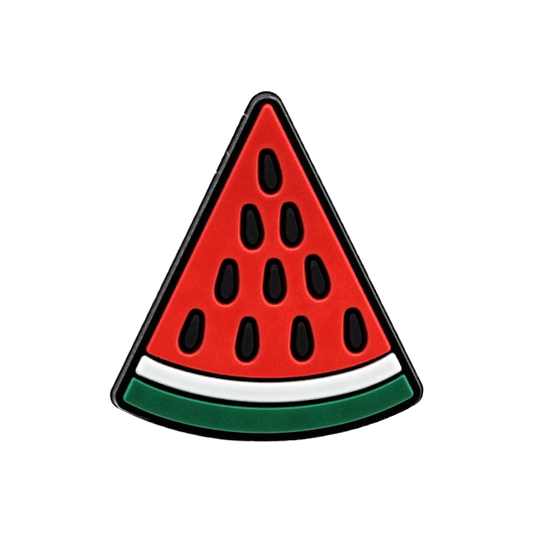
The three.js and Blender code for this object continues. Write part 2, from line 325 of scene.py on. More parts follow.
def corner_centre(side, apex, radius, hub, reach):
    """Centre of the corner circle that touches one side from inside, at a reach from the hub."""
    sin = math.sin(HALF_ANGLE)
    cos = math.cos(HALF_ANGLE)
    down = Vector((side * sin, cos))
    start = Vector((-side * radius * cos, apex + radius * sin))
    offset = start - hub
    along = down.dot(offset)
    travel = -along + math.sqrt(along**2 - offset.length_squared + reach**2)
    return start + down * travel


def end_of(bow, side):
    """Hub and radius of the right end (side 1) or left end (-1), and the bearing it begins at."""
    start, key = (RIGHT_CURL, "right_end") if side > 0 else (LEFT_CURL, "left_end")
    bearing = math.asin((start - bow["shift"]) / bow["radius"])
    radius = bow.get(key, bow["radius"])
    return arc_centre(bow) + (bow["radius"] - radius) * spoke(bearing), radius, bearing


def bow_points(bow, grow, from_left, to_right):
    """Points along a floor or ceiling that has moved down by grow, between two bearings."""
    left_hub, left_radius, left = end_of(bow, -1)
    right_hub, right_radius, right = end_of(bow, 1)
    return [
        *arc(left_hub, left_radius + grow, from_left, left, CURL_STEPS),
        *arc(arc_centre(bow), bow["radius"] + grow, left, right, FLOOR_STEPS)[1:],
        *arc(right_hub, right_radius + grow, right, to_right, CURL_STEPS)[1:],
    ]


def corner_at(side, apex, bow, radius, grow, over):
    """Centre of the circle between a side and a floor (over -1) or ceiling (1), and its bearing."""
    hub, reach, _ = end_of(bow, side)
    centre = corner_centre(side, apex, radius, hub, reach + grow + over * radius)
    return centre, math.atan2(centre.x - hub.x, centre.y - hub.y)


def tip_points(apex, radius):
    """The round tip where the sides meet, from right to left."""
    centre = Vector((TIP_SHIFT, apex + radius / math.sin(HALF_ANGLE)))
    return arc(centre, radius, RIGHT_SIDE, 2 * math.pi - RIGHT_SIDE, TIP_STEPS)


def ceiling_points(piece, apex, grow):
    """The upper edge of a band, from right to left."""
    radius = grown_radius(piece["ceiling_corner"], grow)
    right, to_right = corner_at(1, apex, piece["ceiling"], radius, -grow, 1)
    left, to_left = corner_at(-1, apex, piece["ceiling"], radius, -grow, 1)
    return [
        *arc(right, radius, RIGHT_SIDE, to_right + math.pi, CORNER_STEPS),
        *bow_points(piece["ceiling"], -grow, to_left, to_right)[-2:0:-1],
        *arc(left, radius, to_left + math.pi, 2 * math.pi - RIGHT_SIDE, CORNER_STEPS),
    ]


def side_points(start, end, piece):
    """Points strictly between the ends of a straight side, as many at any growth."""
    length = piece["floor"]["depth"] - piece.get("ceiling", {"depth": 0})["depth"]
    steps = round(length / math.cos(HALF_ANGLE) / SIDE_SPACING)
    return [start.lerp(end, i / steps) for i in range(1, steps)]


def slice_outline(piece, grow):
    """Outline of a piece of the slice, grown all round, anticlockwise seen from the front."""
    apex = (piece["margin"] - grow) / math.sin(HALF_ANGLE)
    corner_grow = piece.get("corner_spread", 1) * grow
    left_radius = grown_radius(piece["floor_corner"], corner_grow)
    right_radius = grown_radius(piece.get("right_corner", piece["floor_corner"]), corner_grow)
    right, to_right = corner_at(1, apex, piece["floor"], right_radius, grow, -1)
    left, to_left = corner_at(-1, apex, piece["floor"], left_radius, grow, -1)
    if "ceiling" in piece:
        upper = ceiling_points(piece, apex, grow)
    else:
        upper = tip_points(apex, grown_radius(piece["tip_radius"], TIP_SPREAD * grow))
    right_corner = arc(right, right_radius, to_right, RIGHT_SIDE, CORNER_STEPS)
    left_corner = arc(left, left_radius, -RIGHT_SIDE, to_left, CORNER_STEPS)
    points = [
        *bow_points(piece["floor"], grow, to_left, to_right),
        *right_corner[1:],
        *side_points(right_corner[-1], upper[0], piece),
        *upper,
        *side_points(upper[-1], left_corner[0], piece),
        *left_corner[:-1],
    ]
    return [Vector((p.x, STEM_DEPTH - p.y)) for p in points]


def circle(radius):
    """A circle about the button's centre line."""
    turns = (math.tau * i / TURN_STEPS for i in range(TURN_STEPS))
    return [Vector((radius * math.cos(turn), radius * math.sin(turn))) for turn in turns]


def shifted_places(shift):
    """The places of all the holes or all the seeds."""
    return [tuple(map(sum, zip(place, shift))) for place in SEED_PLACES]


def egg_outline(egg, place, grow):
    """Outline of a seed or of its hole, anticlockwise seen from the front."""
    x0, depth0, lean = place
    lean = math.radians(lean)
    long = egg["length"] / 2 + grow
    points = []
    for i in range(EGG_STEPS):
        turn = math.tau * i / EGG_STEPS
        u = math.copysign(abs(math.cos(turn)) ** (2 / EGG_FULLNESS), math.cos(turn))
        v = math.copysign(abs(math.sin(turn)) ** (2 / EGG_FULLNESS), math.sin(turn))
        wide = egg["mid_width"] / 2 * (1 + egg["taper"] * u * (1 - u * u)) + grow
        down = egg["drop"] + long * u
        across = wide * v + egg["bend"] * (u * u - 1 / 3)
        x = x0 + down * math.sin(lean) + across * math.cos(lean)
        depth = depth0 + down * math.cos(lean) - across * math.sin(lean)
        points.append(Vector((x, STEM_DEPTH - depth)))
    return points


# ---- Meshes ----------------------------------------------------------------------------------


def share_of(value, start, end):
    """How far the value has come from start to end: 0 to 1."""
    return min(max((value - start) / (end - start), 0), 1)


def add_loop(bm, outline, z):
    return [bm.verts.new((p.x * MM, p.y * MM, z * MM)) for p in outline]


def skin(bm, loops):
    """Quads through a stack of loops. They face outwards where the stack goes up."""
    for lower, upper in zip(loops, loops[1:]):
        for i in range(len(lower)):
            bm.faces.new((lower[i - 1], lower[i], upper[i], upper[i - 1]))


def inside(points, outline):
    """Which points lie inside an outline: a ray from them crosses it an odd number of times."""
    x, y = points.T
    odd = np.zeros(len(points), dtype=bool)
    for (ax, ay), (bx, by) in zip(outline, np.roll(outline, -1, axis=0)):
        if ay != by:
            odd ^= ((ay > y) != (by > y)) & (x < ax + (y - ay) * (bx - ax) / (by - ay))
    return odd


def within(points, outlines):
    """Which points lie inside the first outline and in none of the others."""
    wanted = inside(points, outlines[0])
    for hole in outlines[1:]:
        wanted &= ~inside(points, hole)
    return wanted


def hexagonal_grid(outline, spacing):
    """Points of a grid of even triangles over an outline's box."""
    low, high = outline.min(axis=0), outline.max(axis=0)
    columns = np.arange(low[0], high[0], spacing)
    rows = np.arange(low[1], high[1], spacing * math.sqrt(0.75))
    x, y = np.meshgrid(columns, rows)
    x[1::2] += spacing / 2
    return np.column_stack((x.ravel(), y.ravel()))


def nearest(border):
    """A function that gives the distance in the plane from a place to the nearest border point."""
    tree = KDTree(len(border))
    for i, point in enumerate(border):
        tree.insert((point[0], point[1], 0), i)
    tree.balance()
    return lambda x, y: tree.find((x, y, 0))[2]


def fill(bm, loops, z, spacing, up=True):
    """Triangles over the first loop and round those inside it, with a grid of new vertices."""
    outlines = [np.array([(v.co.x, v.co.y) for v in loop]) / MM for loop in loops]
    border = np.concatenate(outlines)
    distance = nearest(border)
    grid = hexagonal_grid(outlines[0], spacing)
    grid = grid[[distance(x, y) > CLEAR_OF_BORDER * spacing for x, y in grid]]
    grid = grid[within(grid, outlines)]
    vertices = [v for loop in loops for v in loop] + add_loop(bm, map(Vector, grid), z)
    edges = []
    first = 0
    for loop in loops:
        count = len(loop)
        edges += [(first + i, first + (i + 1) % count) for i in range(count)]
        first += count
    points = np.concatenate((border, grid))
    result = delaunay_2d_cdt(list(map(Vector, points)), edges, [], ALL_TRIANGLES, MERGE_REACH)
    triangles, origins = result[2:4]
    corners = np.array([[origins[i][0] for i in triangle] for triangle in triangles])
    a, b, c = points[corners].transpose(1, 0, 2)
    area = np.cross(b - a, c - a) / 2
    corners = corners[(area > SLIVER_AREA) & within((a + b + c) / 3, outlines)]
    for corner in corners if up else corners[:, ::-1]:
        bm.faces.new([vertices[i] for i in corner])


def refined(outline):
    """The outline with its edges cut into pieces."""
    return [
        outline[i - 1].lerp(outline[i], step / EDGE_PIECES)
        for i in range(len(outline))
        for step in range(EDGE_PIECES)
    ]


def note_distance(bm, attribute, outlines):
    """Notes on each vertex how far it lies from the nearest of the outlines, seen from the front."""
    layer = bm.verts.layers.float.new(attribute)
    border = [p for outline in outlines for p in refined(outline)]
    distance = nearest(border) if border else lambda x, y: FAR
    for v in bm.verts:
        x, y, z = v.co / MM
        v[layer] = distance(x, y) if z > BACK_Z + BACK_SKIN else FAR
    return layer


def note_polish(bm):
    """Notes on each vertex how polished it is."""
    layer = bm.verts.layers.float.new("polish")
    bm.normal_update()
    for v in bm.verts:
        place = Vector((v.co.x / MM, v.co.y / MM))
        near = [
            share * share_of((place - Vector((x, y))).length, radius, SPOT_CORE * radius)
            for x, y, radius, share in SPOTS
        ]
        right = RIGHT_POLISH * share_of(v.normal.x, *RIGHT_FACING)
        low = share_of(v.co.z / MM, (LEDGE_Z + LAND_Z) / 2, LEDGE_Z)
        tip = TIP_POLISH * low * share_of(v.normal.y, *TIP_FACING)
        v[layer] = max(*near, right, tip)


def note_ends(bm, piece):
    """Notes on each vertex how far it lies from the nearer end of a band."""
    layer = bm.verts.layers.float.new("end")
    for v in bm.verts:
        depth = STEM_DEPTH - v.co.y / MM
        across = depth * math.sin(HALF_ANGLE) - abs(v.co.x) / MM * math.cos(HALF_ANGLE)
        v[layer] = across - piece["margin"]


def dome_drop(dome, distance):
    """How far a domed top has fallen at a distance from its edge."""
    return dome["high"] * max(0, 1 - distance / dome["wide"]) ** 2


def shape_top(bm, outline, holes):
    """Domes a pad's top towards its edge and those of its holes, and waves it."""
    note_distance(bm, "rim", [outline])
    note_distance(bm, "lip", holes)
    rim, lip = (bm.verts.layers.float[name] for name in ("rim", "lip"))
    for v in bm.verts:
        x, y, z = v.co / MM
        share = max(0, (z - LAND_Z) / (PAD_TOP - LAND_Z))
        swing = noise.noise(Vector((x, y, 0)) / WAVE_LENGTH) * WAVE_HEIGHT
        drop = dome_drop(PAD_DOME, v[rim]) + dome_drop(HOLE_DOME, v[lip])
        v.co.z += (swing - drop) * share * MM


def dress(bm, name, finish, node):
    """Makes the finished piece, which stands for a node of the part."""
    mesh = bpy.data.meshes.new(name)
    bm.normal_update()
    bm.to_mesh(mesh)
    bm.free()
    mesh.shade_smooth()
    mesh.set_sharp_from_angle(angle=SHARP_ANGLE)
    mesh.materials.append(finish)
    piece = bpy.data.objects.new(name, mesh)
    bpy.context.scene.collection.objects.link(piece)
    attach(piece, "root")
    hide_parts(node)


# ---- Pieces ----------------------------------------------------------------------------------


def pad_levels(edge, draft):
    """Levels of a pad's side, or of a hole's, from its underside up: inset and height."""
    levels = [(0, POCKET_Z), (0, LAND_Z)]
    for i in range(SHOULDER_STEPS + 1):
        turn = math.pi / 2 * i / SHOULDER_STEPS
        inset = draft + edge["wide"] * (1 - math.cos(turn))
        levels.append((inset, PAD_TOP - TOP_GAP - edge["high"] * (1 - math.sin(turn))))
    levels.append((draft + edge["wide"] + FLAT_RING, PAD_TOP - TOP_GAP))
    return levels


def mouth(place):
    """The place of a hole's mouth, from that of its foot."""
    x, depth, lean = place
    return x, depth + HOLE_LEAN, lean


def on_shoulder(edge, narrow, further, wide, up):
    """An outline on a shoulder whose width changes to where its edge faces down.

    Narrow is the outline within the setback and wide the one on an even shoulder. Further lies
    well outside them. Up is -1 for an outer edge and 1 for a hole, whose edge faces inwards.
    """
    points = []
    for near, out, p in zip(narrow, further, wide):
        facing = up * (out - near).normalized().y
        share = share_of(facing, *edge["turn"])
        width = 1 + (edge["lower"] - 1) * share
        points.append(near.lerp(p, width) - (out - near).normalized() * edge["back"] * share)
    return points


def pad_side(bm, piece, edge):
    """The side of a pad, as loops from its underside up."""
    further = slice_outline(piece, 1)
    side = []
    for inset, z in pad_levels(edge, PAD_DRAFT):
        narrow = slice_outline(piece, -min(inset, edge["setback"]))
        outline = slice_outline(piece, -inset)
        if z > LAND_Z:
            outline = on_shoulder(edge, narrow, further, outline, -1)
        side.append(add_loop(bm, outline, z))
    skin(bm, side)
    return side


def hole_side(bm, foot):
    """The side of a hole through the flesh, as loops from its foot up."""
    side = []
    for inset, z in pad_levels(HOLE_EDGE, HOLE_DRAFT):
        place = mouth(foot) if z > LAND_Z else foot
        narrow, further, wide = (egg_outline(SEED_HOLE, place, grow) for grow in (0, 1, inset))
        side.append(add_loop(bm, on_shoulder(HOLE_EDGE, narrow, further, wide, 1), z))
    skin(bm, side[::-1])
    return side


def pad(piece, edge, hole_places=()):
    """A coloured pad with its holes, closed underneath."""
    bm = bmesh.new()
    side = pad_side(bm, piece, edge)
    holes = [hole_side(bm, foot) for foot in hole_places]
    fill(bm, [side[-1]] + [hole[-1] for hole in holes], PAD_TOP - TOP_GAP, PAD_GRID)
    fill(bm, [side[0]] + [hole[0] for hole in holes], POCKET_Z, GRID_SPACING, up=False)
    mouths = [egg_outline(SEED_HOLE, mouth(foot), 0) for foot in hole_places]
    shape_top(bm, slice_outline(piece, 0), mouths)
    note_ends(bm, piece)
    return bm


def seed(place):
    """A seed with a raised lip round a slightly hollow top, and a pit at its narrow end."""
    bm = bmesh.new()
    outline = egg_outline(SEED, place, 0)
    bottom = add_loop(bm, outline, POCKET_Z)
    side = [add_loop(bm, egg_outline(SEED, place, grow), LAND_Z + rise) for grow, rise in SEED_SIDE]
    skin(bm, [bottom] + side)
    fill(bm, [side[-1]], LAND_Z + SEED_SIDE[-1][1], SEED_TOP_GRID)
    fill(bm, [bottom], POCKET_Z, SEED_GRID, up=False)
    # The seed's edge, its narrow end and its pit carry painted highlights, and the pit painted shade.
    note_distance(bm, "rim", [outline])
    # Outlines are closed, so the crown's runs there and back, and the pit's middle is one of two
    # equal points.
    crown = outline[CROWN]
    note_distance(bm, "crown", [crown + crown[::-1]])
    end = outline[EGG_STEPS // 2]
    eye = end + (outline[0] - end).normalized() * EYE_INSET
    distance = note_distance(bm, "eye", [[eye, eye]])
    for v in bm.verts:
        if v.co.z / MM > LAND_Z:
            v.co.z -= EYE_DEPTH * max(0, 1 - (v[distance] / EYE_RADIUS) ** 2) * MM
    return bm


def torn(p, part):
    """How fully the ledge (part 0) or the wall (1) is torn at a point of the left side: 0 to 1."""
    if p.x > 0 or p.y < 0:
        return 0
    return max(max(0, 1 - ((p.y - y) / TEAR_WIDTH) ** 2) * parts[part] for y, *parts in TEARS)


def swell(p):
    """How much further than evenly the flash line stands out at a point."""
    return sum(
        out * max(0, 1 - ((p.x - x) ** 2 + (p.y - y) ** 2) / reach**2) for x, y, reach, out in SWELLS
    )


def normals(outline):
    """Outward direction at each point of an outline."""
    behind = outline[-1:] + outline[:-1]
    ahead = outline[1:] + outline[:1]
    return [Vector((b.y - a.y, a.x - b.x)).normalized() for a, b in zip(behind, ahead)]


def bulge(p, normal, level):
    """How far the base's side stands out at a point of one of its levels, beyond its even growth."""
    grow, z = level
    left = share_of(-normal.x, *UNDER_LEFT)
    under = left * share_of(-normal.y, *UNDER_DOWN)
    if level in FLASH_LINE:
        ragged = RAGGEDNESS * max(0, noise.noise(Vector((p.x, p.y, 0)) / RAG_LENGTH))
        tear = torn(p, 0)
        return (WALL_FOOT - grow) * tear + (swell(p) * (1 - tear) - ragged) * (1 - under)
    if level in WALL:
        depth = (LAND_Z - z) / (LAND_Z - LEDGE_Z)
        corner = share_of(2 * normal.x * normal.y, CORNER_START, CORNER_END) * (normal.y < 0)
        tip = share_of(p.y, FLARE_START, FLARE_END)
        flare = max(TIP_FLARE * tip, CORNER_FLARE * corner * (1 - under), UNDER_FLARE * under)
        upright = share_of(-normal.y, UPRIGHT_START, UPRIGHT_END) * (1 - left)
        raised = RIDGE_HEIGHT * torn(p, 1) + flare * depth + UNDER_SHIFT * under
        return raised * (1 - upright) - grow * upright
    return 0


def base_side_outline(level):
    """Outline of the base at one of its side's levels, with tears and flares."""
    outline = slice_outline(BASE, level[0])
    return [p + normal * bulge(p, normal, level) for p, normal in zip(outline, normals(outline))]


def straight_wall(bm, outline, start, end):
    """An upright wall from one height to another: a pocket's goes down and an island's up."""
    loops = [add_loop(bm, outline, z) for z in (start, end)]
    skin(bm, loops)
    return loops


def island(bm, hole, seed_place):
    """An island of the base's face in a hole, with its seed's pocket. Gives the loop at its foot."""
    foot, edge = straight_wall(bm, egg_outline(SEED_HOLE, hole, -CLEARANCE), POCKET_FLOOR, LAND_Z)
    pocket = egg_outline(SEED, seed_place, CLEARANCE)
    pocket_rim, pocket_foot = straight_wall(bm, pocket, LAND_Z, POCKET_FLOOR)
    fill(bm, [edge, pocket_rim], LAND_Z, SEED_GRID)
    fill(bm, [pocket_foot], POCKET_FLOOR, GRID_SPACING)
    return foot


def flat_back(bm, outer):
    """The base's flat back inside its outer edge, with the seat for the button's flange."""
    ceiling = FLANGE_TOP + CLEARANCE
    seat = circle(FLANGE_RADIUS + CLEARANCE)
    seat_foot, seat_top = (add_loop(bm, seat, z) for z in (BACK_Z, ceiling))
    skin(bm, [seat_top, seat_foot])
    fill(bm, [outer, seat_foot], BACK_Z, GRID_SPACING, up=False)
    fill(bm, [seat_top], ceiling, GRID_SPACING, up=False)


def base():
    """The black base, with its pockets, an island for each seed and the seat for the button."""
    bm = bmesh.new()
    side = [add_loop(bm, base_side_outline(level), level[1]) for level in BASE_SIDE]
    skin(bm, side)
    pockets = [slice_outline(piece, CLEARANCE) for piece in (FLESH, PITH, RIND)]
    rims, feet = zip(*(straight_wall(bm, pocket, LAND_Z, POCKET_FLOOR) for pocket in pockets))
    fill(bm, [side[-1], *rims], LAND_Z, GRID_SPACING)
    holes = shifted_places(HOLE_SHIFT)
    islands = [island(bm, *pair) for pair in zip(holes, shifted_places(SEED_SHIFT))]
    for foot, inner in zip(feet, (islands, [], [])):
        fill(bm, [foot, *inner], POCKET_FLOOR, GRID_SPACING)
    flat_back(bm, side[0])
    # These distances from the flesh and from its holes carry a painted red glow on the black face.
    note_distance(bm, "red_glow", [slice_outline(FLESH, 0)])
    note_distance(bm, "ring", [egg_outline(SEED_HOLE, hole, 0) for hole in holes])
    note_distance(bm, "scar", [[Vector(end) for end in scar] for scar in SCARS])
    note_polish(bm)
    return bm


def quarter(radius, z, size, start, end):
    """Profile points, radius and height, on a quarter circle between two angles in quarter turns."""
    steps = range(ROUND_STEPS + 1)
    turns = (math.pi / 2 * (start + (end - start) * i / ROUND_STEPS) for i in steps)
    return [(radius + size * math.cos(turn), z + size * math.sin(turn)) for turn in turns]


def button():
    """The button: a head with rounded edges, a neck with filleted ends, and the bonded flange."""
    rim = HEAD_RADIUS - HEAD_EDGE
    neck = NECK_RADIUS + NECK_FILLET
    profile = [
        *quarter(rim, FOOT_Z + HEAD_EDGE, HEAD_EDGE, -1, 0),
        *quarter(rim, HEAD_THICKNESS - HEAD_EDGE, HEAD_EDGE, 0, 1),
        *quarter(neck, HEAD_THICKNESS + NECK_FILLET, NECK_FILLET, -1, -2),
        *quarter(neck, BACK_Z - NECK_FILLET, NECK_FILLET, 2, 1),
        (FLANGE_RADIUS, BACK_Z),
        (FLANGE_RADIUS, FLANGE_TOP),
    ]
    bm = bmesh.new()
    loops = [add_loop(bm, circle(radius), z) for radius, z in profile]
    skin(bm, loops)
    fill(bm, [loops[0]], FOOT_Z, GRID_SPACING, up=False)
    fill(bm, [loops[-1]], FLANGE_TOP, 2 * GRID_SPACING)
    for attribute in ("red_glow", "ring", "scar"):
        note_distance(bm, attribute, [])
    note_polish(bm)
    return bm


# ---- Materials -------------------------------------------------------------------------------


def linear(red, green, blue):
    """An sRGB colour, from 0 to 255, as the linear colour that a shader takes."""
    shares = [value / 255 for value in (red, green, blue)]
    return [s / 12.92 if s <= 0.04045 else ((s + 0.055) / 1.055) ** 2.4 for s in shares] + [1]


def add(tree, kind, inputs=(), **settings):
    """A new node with its settings made and its inputs set or linked."""
    node = tree.nodes.new("ShaderNode" + kind)
    for key, value in settings.items():
        setattr(node, key, value)
    for key, value in dict(inputs).items():
        if isinstance(value, bpy.types.NodeSocket):
            tree.links.new(value, node.inputs[key])
        else:
            node.inputs[key].default_value = value
    return node


def product(tree, first, second):
    return add(tree, "Math", {0: first, 1: second}, operation="MULTIPLY").outputs["Value"]


def scaled(tree, vector, factors):
    node = add(tree, "VectorMath", {0: vector, 1: factors}, operation="MULTIPLY")
    return node.outputs["Vector"]


def noted(tree, attribute):
    """What the mesh notes on its vertices under that name."""
    return add(tree, "Attribute", attribute_name=attribute).outputs["Fac"]


def noise_of(tree, place, scale, detail):
    """A noise with that many waves to the millimetre, and finer ones on them."""
    node = add(tree, "TexNoise", {"Vector": place, "Scale": scale, "Detail": detail})
    return node.outputs["Fac"]


def spread(tree, value, low, high, to_low=0.0, to_high=1.0):
    """The value's stretch from low to high, carried over to another stretch."""
    inputs = {"Value": value, "From Min": low, "From Max": high, "To Min": to_low, "To Max": to_high}
    return add(tree, "MapRange", inputs, interpolation_type="SMOOTHSTEP").outputs["Result"]


def blended(tree, share, first, second):
    """The first number, and the second where the share is 1."""
    inputs = {"Factor": share, "A": first, "B": second}
    return add(tree, "Mix", inputs, data_type="FLOAT").outputs["Result"]


def mixed(tree, share, first, second):
    """The first colour, and the second where the share is 1."""
    node = add(tree, "Mix", {"Factor": share}, data_type="RGBA")
    for socket, value in zip([s for s in node.inputs if s.type == "RGBA"], (first, second)):
        if isinstance(value, bpy.types.NodeSocket):
            tree.links.new(value, socket)
        else:
            socket.default_value = value
    return next(s for s in node.outputs if s.type == "RGBA")


def bumped(tree, height, depth, normal=None):
    """The surface's direction over bumps of that depth in metres, on others if a normal is given."""
    inputs = {"Height": height, "Strength": 1.0, "Distance": depth}
    if normal is not None:
        inputs["Normal"] = normal
    return add(tree, "Bump", inputs).outputs["Normal"]


# Colours are sRGB, from 0 to 255. Tone and cloud mottle the surface, and tip is the colour towards
# the slice's tip. Pits are small specks: how many to the millimetre, the stretch of the noise that
# they rise over and their colour. Each edge is a line or a glow along an outline, mostly painted
# highlight or painted shade, and on the black base also a pale mark where the flash was torn: the
# attribute that holds the distance from it, the distances between which it rises and those between
# which it falls, its strength and its colour. Gloss is the roughness where the grain is low and
# where it is high, and specular how strongly the PVC mirrors. Lumps and grain are the depths of the
# bumps.
# Soft is how much of the light goes into the PVC, and soft colour how far each colour of it comes.
# The wall's gloss is its roughness at the ledge and at the upper edge, and its streaks' that of
# the dull ones and of the glossy ones.
AT_ONCE = (-0.02, -0.01)  # the rise of an edge that is at full strength on the outline itself
LOOKS = {
    "red_pvc": {
        "tone": (242, 43, 31),
        "cloud": (223, 23, 13),
        "tip": (198, 19, 12),
        "edges": [
            # Painted highlight: a lighter red glow in from the flesh's edge and from its holes' edges,
            # standing in for light on the shoulders.
            ("rim", AT_ONCE, (0.15, 0.85), 0.75, (238, 30, 21)),
            ("lip", AT_ONCE, (0.15, 0.7), 0.6, (238, 46, 35)),
            # Painted shade: dark red at the foot of the flesh's walls and of its holes' walls, beside
            # the black grooves.
            ("rim", AT_ONCE, (0.02, 0.09), 0.8, (100, 2, 2)),
            ("lip", AT_ONCE, (0.02, 0.09), 0.8, (100, 2, 2)),
        ],
        "gloss": (0.2, 0.44),
        "lumps": 0.004,
        "grain": 0.007,
        "soft": 0.06,
        "soft_colour": (1, 0.2, 0.1),
    },
    "white_pvc": {
        "tone": (238, 240, 240),
        "cloud": (227, 231, 230),
        "edges": [
            # Painted highlight: the white glows brighter in from its edges and towards its ends,
            # standing in for light on the shoulders.
            ("rim", AT_ONCE, (0.1, 0.85), 0.9, (254, 254, 253)),
            ("end", AT_ONCE, (0.25, 0.8), 0.8, (255, 255, 255)),
        ],
        "gloss": (0.26, 0.34),
        "lumps": 0.003,
        "grain": 0.002,
        "soft": 0.12,
        "soft_colour": (1, 1, 1),
    },
    "green_pvc": {
        "tone": (1, 91, 56),
        "cloud": (0, 74, 44),
        "pits": (4.5, (0.63, 0.72), (0, 58, 35)),
        "edges": [
            # Painted highlight: a lighter green glow in from the edges, a bright line along the
            # shoulders and lighter ends, standing in for light caught there.
            ("rim", AT_ONCE, (0.1, 0.7), 0.45, (3, 107, 67)),
            ("rim", (0.0, 0.02), (0.07, 0.15), 0.95, (33, 154, 112)),
            ("end", AT_ONCE, (0.12, 0.3), 0.8, (44, 158, 118)),
        ],
        "gloss": (0.2, 0.42),
        "specular": 0.42,
        "lumps": 0.004,
        "grain": 0.007,
    },
    "black_pvc": {
        "tone": (5, 4, 5),
        "cloud": (3, 2, 3),
        "edges": [
            # Painted glow: dark red on the black face beside the flesh and round its holes, standing
            # in for light from the red walls.
            ("red_glow", AT_ONCE, (0.02, 0.22), 0.8, (44, 1, 2)),
            ("ring", AT_ONCE, (0.02, 0.3), 0.8, (56, 1, 2)),
            ("scar", AT_ONCE, (0.02, 0.09), 1.0, (150, 150, 146)),
        ],
        "gloss": (0.14, 0.2),
        "lumps": 0.002,
        "grain": 0.0006,
        "wall_gloss": (0.74, 0.5),
        "wall_streaks": (0.9, 0.38),
        "wall_grain": 0.022,
    },
    "charcoal_pvc": {
        "tone": (4, 3, 4),
        "cloud": (2, 2, 2),
        "pits": (8, (0.5, 0.64), (17, 16, 17)),
        "edges": [
            # Painted highlight: a purplish line along the seed's edge, a brighter one round its narrow
            # end and a ring round the pit.
            ("rim", (0.0, 0.05), (0.07, 0.16), 0.5, (18, 7, 11)),
            ("crown", (0.06, 0.1), (0.12, 0.17), 0.9, (44, 24, 31)),
            ("eye", (0.08, 0.12), (0.14, 0.18), 0.6, (40, 28, 33)),
            # Painted shade: near black in the pit.
            ("eye", AT_ONCE, (0.06, 0.11), 0.9, (1, 1, 1)),
        ],
        "gloss": (0.5, 0.62),
        "specular": 0.13,
        "lumps": 0.01,
        "grain": 0.014,
    },
}

# How the cloud is laid over the tone: the noise's waves to the millimetre and its detail, the
# stretch of it that the cloud comes in over, and the cloud's strength
MOTTLING = [
    (0.45, 3, (0.35, 0.65), 0.7),
    (4.4, 3, (0.35, 0.65), 0.5),
    (8.0, 2, (0.4, 0.6), 0.5),
]
# The tip's colour comes in over a stretch of y.
TIP_TONE_RISE = (2, 12)
TIP_TONE_STRENGTH = 0.6
PIT_DETAIL = 1
# Where this noise is low, only a share of the edges' colours is left.
FADING = (4.4, 3)
FADING_STRETCH = (0.3, 0.7)
FADED_SHARE = 0.75

# Noises of the bumps: waves to the millimetre and detail
LUMP_NOISE = (3.2, 2)
GRAIN_NOISE = (9.0, 2)
GLOSS_STRETCH = (0.3, 0.7)  # stretch of the grain that the roughness changes over
REFRACTION = 1.5
SPECULAR = 0.5
SOFT_REACH = 0.25  # how far light goes in the PVC

# Where the wall's finish begins above the ledge, and where it ends below the face
WALL_RISE = 0.02
WALL_FALL = (0.06, 0.03)
POLISHED = 0.06  # roughness of a polished spot
# Streaks run up and down the wall: waves to the millimetre each way, detail, and the stretches of
# the noise over which the dull ones and the glossy ones come in
STREAK_SCALE = (3.4, 3.4, 1.4)
STREAK_DETAIL = 2
DULL_STREAKS = (0.5, 0.62)
GLOSSY_STREAKS = (0.5, 0.38)
# A dull line runs along the wall: how far it lies above the middle, its width each way, strength
# and roughness
WALL_LINE = 0.1
WALL_LINE_WIDTH = 0.5
WALL_LINE_STRENGTH = 0.8
WALL_LINE_GLOSS = 1.0


def edge_share(tree, attribute, rise, fall, strength):
    """How much of an edge's colour shows: its strength between the rise and the fall."""
    distance = noted(tree, attribute)
    return product(tree, spread(tree, distance, *rise), spread(tree, distance, *fall, strength, 0))


def pvc_colour(tree, place, look):
    """Mottled colour, with highlights, shade and pale marks painted along the outlines near by."""
    colour = linear(*look["tone"])
    for scale, detail, stretch, strength in MOTTLING:
        share = spread(tree, noise_of(tree, place, scale, detail), *stretch, 0, strength)
        colour = mixed(tree, share, colour, linear(*look["cloud"]))
    if "tip" in look:
        up = add(tree, "SeparateXYZ", {"Vector": place}).outputs["Y"]
        share = spread(tree, up, *TIP_TONE_RISE, 0, TIP_TONE_STRENGTH)
        colour = mixed(tree, share, colour, linear(*look["tip"]))
    if "pits" in look:
        scale, stretch, shade = look["pits"]
        pits = spread(tree, noise_of(tree, place, scale, PIT_DETAIL), *stretch)
        colour = mixed(tree, pits, colour, linear(*shade))
    uneven = spread(tree, noise_of(tree, place, *FADING), *FADING_STRETCH, FADED_SHARE, 1)
    for attribute, rise, fall, strength, shade in look["edges"]:
        share = product(tree, edge_share(tree, attribute, rise, fall, strength), uneven)
        colour = mixed(tree, share, colour, linear(*shade))
    return colour


def wall_gloss(tree, place, up, look):
    """Roughness of the base's wall: finer towards the top, with a dull line and streaks."""
    rough = spread(tree, up, LEDGE_Z, LAND_Z, *look["wall_gloss"])
    middle = (LEDGE_Z + LAND_Z) / 2 + WALL_LINE
    line = product(
        tree,
        spread(tree, up, middle - WALL_LINE_WIDTH, middle),
        spread(tree, up, middle, middle + WALL_LINE_WIDTH, WALL_LINE_STRENGTH, 0),
    )
    rough = blended(tree, line, rough, WALL_LINE_GLOSS)
    streaks = noise_of(tree, scaled(tree, place, STREAK_SCALE), 1, STREAK_DETAIL)
    for stretch, gloss in zip((DULL_STREAKS, GLOSSY_STREAKS), look["wall_streaks"]):
        rough = blended(tree, spread(tree, streaks, *stretch), rough, gloss)
    return rough


def wall_finish(tree, place, look, rough):
    """Roughness and depth of the grain on the base, whose wall has its own."""
    up = add(tree, "SeparateXYZ", {"Vector": place}).outputs["Z"]
    above_ledge = spread(tree, up, LEDGE_Z, LEDGE_Z + WALL_RISE)
    start, end = (LAND_Z - drop for drop in WALL_FALL)
    wall = product(tree, above_ledge, spread(tree, up, start, end, 1, 0))
    polish = noted(tree, "polish")
    wall_rough = blended(tree, polish, wall_gloss(tree, place, up, look), POLISHED)
    grainy = product(tree, wall, spread(tree, polish, 0, 1, 1, 0))
    grain = spread(tree, grainy, 0, 1, look["grain"] * MM, look["wall_grain"] * MM)
    return blended(tree, wall, rough, wall_rough), grain


